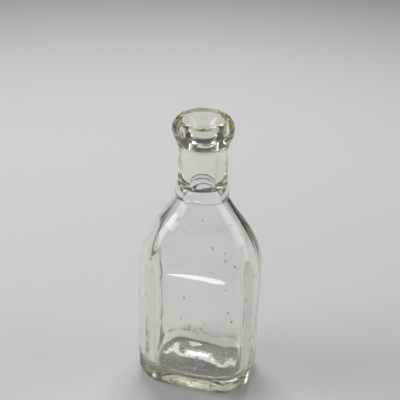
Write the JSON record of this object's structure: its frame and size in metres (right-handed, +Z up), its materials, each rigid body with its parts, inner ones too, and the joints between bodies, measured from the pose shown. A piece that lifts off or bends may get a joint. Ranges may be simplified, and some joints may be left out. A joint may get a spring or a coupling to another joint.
{
  "type": "medicine bottle",
  "caption": "Open clear glass medicine bottle with bevelled upright corners, sloping shoulders, a beaded round neck and a thick hand-laid lip.",
  "frame": {"origin": "on the resting plane, under the middle of the base", "axes": "+Z up the neck's axis to the mouth, +X along the broad panels, +Y through the broad panels from front to back"},
  "size_m": [0.0568, 0.0406, 0.1361],
  "materials": {
    "blown_bottle": "clear soda-lime glass with a faint straw-green tint, fire-polished, with a few seed bubbles",
    "applied_lip": "the same clear glass in a thick tooled ring, where the straw-green tint shows most"
  },
  "bodies": {
    "root": {"blown_bottle": "blown_bottle", "applied_lip": "applied_lip"}
  },
  "joints": []
}
